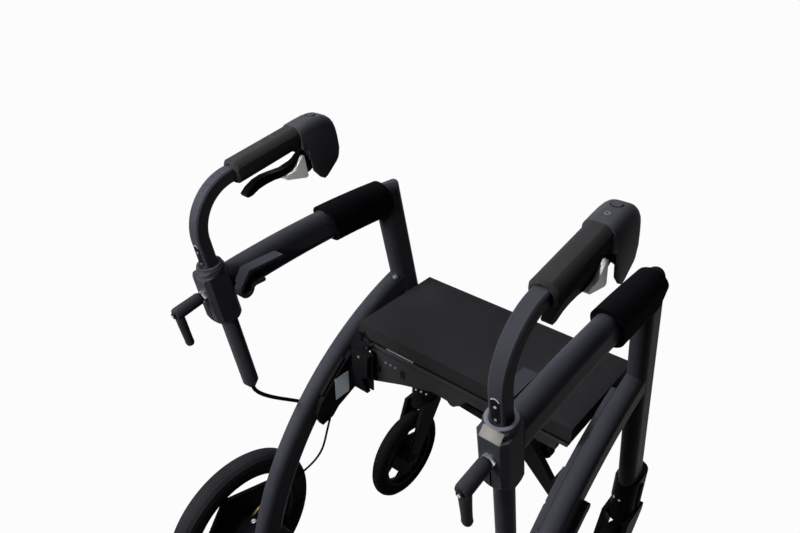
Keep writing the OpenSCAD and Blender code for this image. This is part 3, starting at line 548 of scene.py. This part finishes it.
def on_curve(x, angle, out=0.0):
    """A place at that angle on the curved tube's circle, or out from it."""
    a = math.radians(angle)
    return (x, BEND.x + (SWEEP_R + out) * math.cos(a), BEND.y + (SWEEP_R + out) * math.sin(a))


def smooth_route(points, steps):
    """A spline through all the points."""
    p = [Vector(q) for q in points]
    p = [2 * p[0] - p[1]] + p + [2 * p[-1] - p[-2]]
    route = []
    for a, b, c, d in zip(p, p[1:], p[2:], p[3:]):
        for k in range(steps):
            t = k / steps
            bend = (2 * a - 5 * b + 4 * c - d) * t * t + (3 * b - 3 * c + d - a) * t ** 3
            route.append(0.5 * (2 * b + (c - a) * t + bend))
    return route + [p[-2]]


def bend_points(p0, p1, p2, p3, steps):
    """Places on a curve that leaves p0 toward p1 and comes to p3 from p2."""
    p0, p1, p2, p3 = (Vector(p) for p in (p0, p1, p2, p3))
    for k in range(steps + 1):
        t = k / steps
        yield tuple((1 - t) ** 3 * p0 + 3 * (1 - t) ** 2 * t * p1 + 3 * (1 - t) * t * t * p2 + t ** 3 * p3)


def tube(name, route, diameter):
    """A round section along the route, as a mesh."""
    deselect()
    curve = bpy.data.curves.new(name, "CURVE")
    curve.dimensions = "3D"
    line = curve.splines.new("POLY")
    line.points.add(len(route) - 1)
    for q, place in zip(line.points, route):
        q.co = (*place, 1)
    curve.bevel_depth = diameter / 2
    curve.bevel_resolution = 3
    curve.use_fill_caps = True
    thing = bpy.data.objects.new(name, curve)
    scene.collection.objects.link(thing)
    pick(thing)
    bpy.ops.object.convert(target="MESH")
    thing = bpy.context.object
    thing.name = thing.data.name = name
    bpy.ops.object.shade_smooth()
    return thing


print("curved tube's circle: middle", tuple(round(q, 1) for q in BEND), "radius", SWEEP_R)

# %% [markdown]
# ## Brake cables
# Each brake cable drops out of its post's end sleeve and bends over onto the duct on the curved tube. It follows the
# same points as its solid. Its upper end rides with the post and its lower end with the frame; the drawn cable is tied
# to neither.

# %% Route the brake cables
CABLE = 0.0066
cable_points = [on_post(0, -232), *bend_points(on_post(0, -241), on_post(0, -271), on_curve(263.5, DUCT_ANGLE, 30),
                                               on_curve(260, DUCT_ANGLE, -8), 12)]
for side, name in SIDES:
    route = smooth_route([mm(side * x, y, z) for x, y, z in cable_points], 4)
    cable = tube(name + "_brake_cable_jacket", route, CABLE)
    cable.data.materials.append(jacket)
    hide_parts(name + "_brake_cable")
    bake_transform(cable)

# %% [markdown]
# ## The lead to the left hub
# A thin lead leaves the left side plate, sags in a bow within the tube's curve and crosses outward to the drum. The
# bow is drawn by angle round the tube's circle: a sine gives the sag and a soft step carries the lead across.

# %% Route the hub lead
LEAD = 0.004
HUB_Y, HUB_Z, DRUM_R = -187.7, 161, 50
LEAD_X, LEAD_CROSSING = -209.9, 63  # where it leaves the plate, and how far outward it goes
LEAD_SAG, LEAD_STEPS = 35, 14


def ease(t):
    u = min(max(t, 0), 1)
    return u * u * (3 - 2 * u)


end = Vector((HUB_Y + 7, HUB_Z + DRUM_R + 3.5)) - BEND
end_angle = math.degrees(math.atan2(end.y, end.x))
lead_points = []
for k in range(LEAD_STEPS + 1):
    s = k / LEAD_STEPS
    angle = DUCT_ANGLE + s * (end_angle - DUCT_ANGLE)
    out = (1 - s) * -30 + s * (end.length - SWEEP_R) - LEAD_SAG * math.sin(math.pi * s)
    lead_points.append(on_curve(LEAD_X - LEAD_CROSSING * ease((s - 0.22) / 0.75), angle, out))
route = smooth_route([mm(*p) for p in lead_points], 4)
lead = tube("left_hub_lead_jacket", route, LEAD)
dress(lead, "left_frame", jacket, "cable", "left_hub_lead")

# %% [markdown]
# ## Seat pad
# The pad is vinyl over foam: nearly flat, with a soft crown, drawn-in sides and a rounded edge. Cloth does this well:
# a slightly smaller block is cut into many faces and swollen by a little pressure, and the result is applied.

# %% Swell the pad
PAD_INSET, PAD_DROP = 0.002, 0.0007  # how much smaller the block is than its solid, and how much lower
PRESSURE, LAST_FRAME = 3, 15
low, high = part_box("seat_pad")
pad = start(bpy.ops.mesh.primitive_cube_add, "seat_cushion", size=1, location=(low + high) / 2)
pad.dimensions = (high.x - low.x - PAD_INSET, high.y - low.y - PAD_INSET, high.z - low.z - PAD_INSET)
pad.location.z -= PAD_DROP
settle(pad)
pick(pad)
bpy.ops.object.mode_set(mode="EDIT")
bpy.ops.mesh.select_all(action="SELECT")
bpy.ops.mesh.subdivide(number_cuts=29)
bpy.ops.object.mode_set(mode="OBJECT")
rest_shape = [v.co.copy() for v in pad.data.vertices]
swell = pad.modifiers.new("swell", "CLOTH")
swell.settings.use_pressure = True
swell.settings.uniform_pressure_force = PRESSURE
swell.settings.effector_weights.gravity = 0
swell.settings.quality = 5
for f in range(1, LAST_FRAME + 1):
    scene.frame_set(f)
apply_modifiers(pad)
scene.frame_set(1)
print("block of", len(pad.data.vertices), "points")

# %% [markdown]
# ## The pad's crown
# Foam can't swell far, least of all at the edges, where the vinyl is drawn down. So the movement of each point is
# capped at two millimetres, less toward the edges, and the underside stays on the board.

# %% Cap the crown and round the edge
CROWN_EDGE, CROWN_MORE = 0.0004, 0.0016  # the most that a point may move at the edge, and what the middle adds
middle, half = (low + high) / 2, (high - low) / 2
for v, was in zip(pad.data.vertices, rest_shape):
    near = max(abs(was.x - middle.x) / half.x, abs(was.y - middle.y) / half.y)
    cap = CROWN_EDGE + CROWN_MORE * (1 - near ** 4)
    moved = v.co - was
    v.co = was + moved * min(1, cap / max(moved.length, 1e-9))
    v.co.z = max(v.co.z, low.z + 0.0003)
bevel(pad, 0.0032, 4, 50)
smooth(pad, 30)
dress(pad, "seat", vinyl, "seat_vinyl", "seat_pad")
print("seat cushion", len(pad.data.polygons), "faces")

# %% [markdown]
# ## Brake housings
# The housing ahead of each grip is one moulding: a flat top with round shoulders, a nose that falls to a chin, and a
# slot behind for the lever. It is drawn as a side outline, given its width, rounded, and then cut.

# %% Model the housings
TOP_POINTS = 12  # so many points of the outline, from the rear over the top to the nose's foot
HOUSING_W = 40
side_outline = [(0, 17), (18, 17.2), (34, 16.8), (45, 15.2), (54, 12.4), (61, 8.2), (67, 2), (71.5, -6), (74, -16),
                (75, -28), (75, -48), (72.5, -56), (52, -68), (34, -78.5), (28, -79.5), (21, -74), (10.5, -58),
                (9, -40), (9, -22), (4, -18.4), (0, -18)]
outline = [(GRIP_F1 + f, GRIP_V + v) for f, v in side_outline]
crest = [Vector((0, f, v)) / 1000 for f, v in outline[:TOP_POINTS]]


def on_crest(q):
    return any((Vector((0, q.y, q.z)) - h).length < 1e-5 for h in crest)


def crest_edge(a, b):
    return abs(a.x - b.x) < 1e-6 and on_crest(a) and on_crest(b)


for side, name in SIDES:
    shell = plate(name + "_housing_shell", outline, HOUSING_W, -HOUSING_W / 2)
    # the long edges of the top and the nose are rounded, the rear rim stays crisp
    edit_select(shell, crest_edge, "edge")
    bpy.ops.mesh.bevel(offset=0.013, segments=6, affect="EDGES", clamp_overlap=True)
    bpy.ops.object.mode_set(mode="OBJECT")
    hollow = start(bpy.ops.mesh.primitive_cube_add, "hollow", size=1)
    hollow.scale = (0.033, 0.056, 0.068)
    hollow.location = (0, (GRIP_F1 + 28) / 1000, (GRIP_V - 56) / 1000)
    settle(hollow)
    cut(shell, hollow)
    # a seat for the tube's end and a well for the button
    drill(shell, 0.0155, 0.04, (0, GRIP_F1 / 1000, GRIP_V / 1000), (math.pi / 2, 0, 0))
    drill(shell, 0.0069, 0.02, (0, (GRIP_F1 + 41) / 1000, (GRIP_V + 18) / 1000))
    bevel(shell, 0.0008, 2, 50)
    settle(shell, post_matrix(side))
    smooth(shell, 35)
    dress(shell, name + "_handle", housing_plastic, "black_plastic", name + "_brake_housing")
    print(name, "housing", len(shell.data.polygons), "faces")

# %% [markdown]
# ## Clamp levers
# Each clamp is closed by a moulded hand lever: a thick hub round the stud and a round arm that tapers to a knob.
# A mould gives such a piece no sharp edge, so it is lofted here: one disc is extruded ring by ring and each ring is
# scaled to its size. Hub and arm are then joined and the seam between them is rounded.

# %% Model the clamp levers
LEVER_START = Vector((0, -29.4, -30)) / 1000  # where the hub begins, in the post's frame
ARM_PLANE = 0.039  # how far along the hub the arm's middle lies
QUARTER = Matrix.Rotation(math.radians(90), 4, "X")
# rings: how far along, half the width, half the depth
HUB_RINGS = ((0.6, 7.4, 7.4), (3, 9, 9), (34, 9.4, 9.4), (41, 9.4, 9.4), (44, 8.4, 8.4), (45, 6.6, 6.6))
ARM_RINGS = ((-3, 8.2, 5.6), (8, 8.4, 6.2), (20, 7.5, 6.4), (38, 6.6, 6.2), (50, 6.4, 6), (54, 6.8, 6.3),
             (58, 5.6, 5.2), (59.8, 2.8, 2.6))


def lofted(name, rings, sides=40):
    """A disc extruded along Z from ring to ring."""
    low, wide, deep = rings[0]
    thing = start(bpy.ops.mesh.primitive_circle_add, name, vertices=sides, radius=wide / 1000, fill_type="NGON",
                  location=(0, 0, low / 1000))
    settle(thing)
    pick(thing)
    bpy.ops.object.mode_set(mode="EDIT")
    bpy.ops.mesh.select_all(action="SELECT")
    bpy.ops.transform.resize(value=(1, deep / wide, 1))
    for (low, wide, deep), (high, wider, deeper) in zip(rings, rings[1:]):
        bpy.ops.mesh.extrude_region_move(TRANSFORM_OT_translate={"value": (0, 0, (high - low) / 1000)})
        bpy.ops.transform.resize(value=(wider / wide, deeper / deep, 1))
    bpy.ops.mesh.select_all(action="SELECT")
    bpy.ops.mesh.normals_make_consistent(inside=False)
    bpy.ops.object.mode_set(mode="OBJECT")
    return thing


for side, name in SIDES:
    lever = lofted(name + "_lever_grip", HUB_RINGS)
    arm = lofted("arm", ARM_RINGS)
    settle(arm, Matrix.Translation((0, 0, ARM_PLANE)) @ QUARTER)
    join = lever.modifiers.new("join", "BOOLEAN")
    join.object, join.operation, join.solver = arm, "UNION", "EXACT"
    apply_modifiers(lever)
    bpy.data.objects.remove(arm)
    bevel(lever, 0.0012, 3, 32)
    # the stud's bore, and the recess for its cap
    drill(lever, 0.0043, 0.05, (0, 0, 0.022), sides=40)
    drill(lever, 0.0048, 0.006, (0, 0, 0.046), sides=40)
    settle(lever, post_matrix(side) @ Matrix.Translation(LEVER_START) @ QUARTER)
    smooth(lever, 32)
    dress(lever, name + "_clamp_lever", knob, "black_plastic", name + "_clamp_lever")
    print(lever.name, len(lever.data.polygons), "faces")

# %% [markdown]
# ## Screws, rivets and bolts
# Small bright fittings tell the eye how big the chair is. Each one starts as a disc with a few or many sides; its top
# is inset and pushed in for the driver, and the rim is rounded. One helper points it along any direction.

# %% Model the fasteners
def facing(place, toward):
    return Matrix.Translation(place) @ Vector(toward).to_track_quat("Z", "Y").to_matrix().to_4x4()


def post_place(side, f, v):
    """A place on a post's rear, facing back."""
    return post_matrix(side) @ facing(Vector((0, f, v)) / 1000, BACK)


def fastener(name, matrix, width, height, body, finish, slot, sides=32, socket=0.45, deep=0.5):
    """A head of that width and height; socket and deep are shares of them."""
    thing = start(bpy.ops.mesh.primitive_cylinder_add, name, vertices=sides, radius=width / 2000, depth=height / 1000,
                  location=(0, 0, height / 2000))
    settle(thing)
    step(thing, faces_up, width / 2000 * (1 - socket), -deep * height / 1000)
    bevel(thing, 0.12 * height / 1000, 2, 40)
    settle(thing, matrix)
    smooth(thing, 30)
    made.append(dress(thing, body, finish, slot))


made = []
BACK, UP = (0, -1, 0), (0, 0, 1)
STUD_V = -30
# each caster head's screws: place, and the way they face across and back
HEAD_SCREWS = ((239.4, 244.4, 268.8, 0, -1), (228.2, 247.9, 267.1, 0.53, -0.85), (220.8, 256.2, 258.6, 0.88, -0.47))
for side, name in SIDES:
    for k, v in enumerate((36, 17)):
        fastener(f"{name}_tube_screw_{k}", post_place(side, -9.9, v), 3.2, 1.2, name + "_handle", zinc, "zinc")
    fastener(name + "_stud_screw", post_place(side, -76.8, STUD_V), 4.2, 1.2, name + "_frame", zinc, "zinc")
for k, x in enumerate((-145, -134, -123)):
    fastener(f"panel_rivet_{k}", facing(mm(x, 38.4, 515), BACK), 4.4, 1.4, "cross_arm_a", pale_coat, "zinc")
for side, name in SIDES:
    for k, (x, y, z, across, back) in enumerate(HEAD_SCREWS):
        place = facing(mm(side * x, y, z), (-side * across, back, 0))
        fastener(f"{name}_head_screw_{k}", place, 4.6, 1.8, name + "_frame", zinc, "zinc")
fastener("box_screw", facing(mm(-187, 13.4, 522), BACK), 5.5, 1.6, "left_frame", brass, "hub_metal")
fastener("hub_bolt_0", facing(mm(-276, -192, 210.2), UP), 11, 5, "left_frame", zinc, "zinc", 6, 0.6, 0.25)
print("fasteners", len(made))

# %% [markdown]
# ## The jack on the right housing
# A small round jack sits behind the right push button. It is a low disc like the screws, but with a wider hole, and it
# lies on the housing's flat top, so the post's frame carries it there.

# %% Model the jack
jack = start(bpy.ops.mesh.primitive_cylinder_add, "right_housing_jack", vertices=40, radius=0.0034, depth=0.0016)
step(jack, faces_up, 0.0012, -0.0013)
bevel(jack, 0.0003, 2, 40)
settle(jack, post_matrix(1) @ Matrix.Translation(Vector((0, GRIP_F1 + 18.5, GRIP_V + 17.0)) / 1000))
smooth(jack, 30)
dress(jack, "right_handle", pale_coat, "grey_metal")
print("jack", [round(1000 * q, 1) for q in jack.dimensions], "mm")

# %% [markdown]
# ## A bare rating label
# The left side plate has a bay with a rating plate. Its print is left off, so it is only a thin sheet with round
# corners: an outline with four arcs, given a thickness.

# %% Model the label
def rounded_box(y0, y1, z0, z1, r):
    """The outline of a box with corners of radius r."""
    corners = ((y1 - r, z1 - r, 0), (y0 + r, z1 - r, 90), (y0 + r, z0 + r, 180), (y1 - r, z0 + r, 270))
    return [(cy + r * math.cos(math.radians(a + t)), cz + r * math.sin(math.radians(a + t)))
            for cy, cz, a in corners for t in (0, 30, 60, 90)]


_, bay_y, bay_z = on_curve(0, DUCT_ANGLE)
label_outline = rounded_box(bay_y + 40.5, bay_y + 75.5, bay_z + 3.5, bay_z + 50.5, 2)
label = plate("left_rating_label", label_outline, 0.9, -213.6)
settle(label, Matrix.Translation((0, -MID / 1000, 0)))
bevel(label, 0.0002, 2, 40)
dress(label, "left_frame", blank_label, "black_plastic")
print("label", [round(1000 * q, 1) for q in label.dimensions], "mm")

# %% [markdown]
# ## Trim, painted shadow and catch behind the seat
# Under the seat's rear edge run a bright trim and a black strip of painted shadow between pad and board, and a catch
# like a small arch is moulded on the brace panel. These face backward, so their outlines are drawn upright and turned
# by a quarter.

# %% Model the trim, the painted shadow strip and the catch
TURN = Matrix.Rotation(math.radians(-90), 4, "Z")
trim = plate("seat_trim", rounded_box(-146, -86, 541.6, 543.8, 0.6), 1.2, 0)
settle(trim, Matrix.Translation(mm(0, 42.2, 0)) @ TURN)
bevel(trim, 0.0002, 2, 40)
dress(trim, "seat", zinc, "zinc")

# a black strip under the pad's rear edge: painted shadow where the pad meets the board
shadow_strip = plate("seat_piping", rounded_box(-210, 210, 540.4, 543.8, 1), 0.7, 0)
settle(shadow_strip, Matrix.Translation(mm(0, 42.05, 0)) @ TURN)
dress(shadow_strip, "seat", foam, "seat_vinyl")

arch = [(-110, 499), (-107.5, 499), (-107.5, 511.5), (-103.5, 511.5), (-103.5, 499), (-101, 499), (-101, 514.5),
        (-110, 514.5)]
catch = plate("panel_catch", arch, 1.6, 0)
settle(catch, Matrix.Translation(mm(0, 38.2, 0)) @ TURN)
bevel(catch, 0.0003, 2, 40)
dress(catch, "cross_arm_a", foam, "black_plastic")
print(trim.name, shadow_strip.name, catch.name)

# %% [markdown]
# ## Slots in the handle tubes
# Behind each handle, above the clamp, a dark slot holds the two tube screws, and a bright lip lies round its upper
# end. The slot is a long rounded box and the lip an arch between two arcs; the post's matrix carries both there.

# %% Model the slots
LIP_V = 43  # the middle of the lip's arcs
for side, name in SIDES:
    slot = plate(name + "_tube_slot", rounded_box(-5.4, 5.4, 12, 48, 5.3), 0.5, 0)
    settle(slot, post_matrix(side) @ Matrix.Translation((0, -0.0099, 0)) @ TURN)
    dress(slot, name + "_handle", plastic, "black_plastic")
    ring = [(r * math.cos(math.radians(a)), LIP_V + r * math.sin(math.radians(a)))
            for r, turn in ((5.6, 1), (4.3, -1)) for a in range(20, 161, 20)[::turn]]
    lip = plate(name + "_tube_slot_lip", ring, 0.9, 0)
    settle(lip, post_matrix(side) @ Matrix.Translation((0, -0.0101, 0)) @ TURN)
    bevel(lip, 0.0002, 2, 40)
    dress(lip, name + "_handle", zinc, "zinc")
    print(slot.name, lip.name)

# %% [markdown]
# ## The clamp's painted highlight and the box's flange
# A thin pale sheet on the right clamp's chamfer is a painted highlight, where the slope catches the light. The control
# box under the seat is held by a flange, an upright plate with round corners and a small bevel.

# %% Model the painted chamfer highlight and the flange
CHAMFER = math.radians(38)
# a pale sheet on the chamfer: painted highlight where the slope catches the light
highlight_sheet = plate("right_clamp_wear", rounded_box(-12.5, 12.5, 0.5, 13.5, 1.2), 0.5, 0)
settle(highlight_sheet, post_matrix(1) @ Matrix.Translation(Vector((0, -24, -2)) / 1000)
       @ Matrix.Rotation(CHAMFER - math.pi / 2, 4, "X") @ TURN)
dress(highlight_sheet, "right_frame", painted_highlight_finish, "frame_coat")

flange = plate("left_box_flange", rounded_box(-190, -163, 450, 533, 2), 2, 0)
settle(flange, Matrix.Translation(mm(0, 26, 0)) @ TURN)
bevel(flange, 0.0004, 2, 40)
dress(flange, "left_frame", plastic, "black_plastic")
print(highlight_sheet.name, flange.name)

# %% [markdown]
# ## Collar crowns and the weld
# The clamps' collars end in a flat round crown; the right one is pale, a painted highlight where the light catches it,
# and the left one keeps the clamp's coat. A torus pressed flat gives it. The weld bead where the curved tube meets the
# left leg is a ball pressed a little flat, pale as a painted highlight.

# %% Model the crowns and the weld
def everything(centre, normal):
    return True


for side, name in SIDES:
    crown = start(bpy.ops.mesh.primitive_torus_add, name + "_collar_crown", major_radius=0.0156, minor_radius=0.0024,
                  major_segments=48, minor_segments=10)
    edit_select(crown, everything)
    bpy.ops.transform.resize(value=(1, 1, 0.3))
    bpy.ops.object.mode_set(mode="OBJECT")
    settle(crown, post_matrix(side) @ Matrix.Translation((0, 0, 0.0112)))
    smooth(crown, 60)
    # the right crown is pale as a painted highlight; the left one keeps the clamp's coat
    dress(crown, name + "_frame", pale_coat if side > 0 else clamp_coat, "frame_coat")

bead = start(bpy.ops.mesh.primitive_uv_sphere_add, "left_weld_bead", segments=24, ring_count=12, radius=0.0055)
edit_select(bead, everything)
bpy.ops.transform.resize(value=(1, 1, 0.8))
bpy.ops.object.mode_set(mode="OBJECT")
settle(bead, Matrix.Translation(mm(-230, 164.5, 600.3)))
smooth(bead, 60)
# the bead is pale as a painted highlight
dress(bead, "left_frame", pale_coat, "frame_coat")
print("crowns and", bead.name)

# %% [markdown]
# ## Brake rods
# From each duct's lower end a short rod with a crimp goes to the drum. The crimp is a fat cylinder; its two ends are
# inset and extruded to thin rods, and the whole is laid along the line between the two places.

# %% Model the brake rods
CRIMP_R, CRIMP_LOW, CRIMP_HIGH = 0.0027, 0.007, 0.025
ROD_RIM = 0.0013  # the step from the crimp to the rod
for side, name in SIDES:
    foot = mm(side * 290, -185.35, 209.5)
    reach = mm(side * 260, -139.85, 281) - foot
    rod = start(bpy.ops.mesh.primitive_cylinder_add, name + "_brake_rod", vertices=24, radius=CRIMP_R,
                depth=CRIMP_HIGH - CRIMP_LOW, location=(0, 0, (CRIMP_LOW + CRIMP_HIGH) / 2))
    settle(rod)
    step(rod, faces_down, ROD_RIM, -CRIMP_LOW)
    step(rod, faces_up, ROD_RIM, reach.length - CRIMP_HIGH)
    bevel(rod, 0.0003, 2, 40)
    settle(rod, facing(foot, reach.normalized()))
    smooth(rod, 30)
    dress(rod, name + "_frame", brass, "hub_metal")
    print(rod.name, round(1000 * reach.length), "mm")
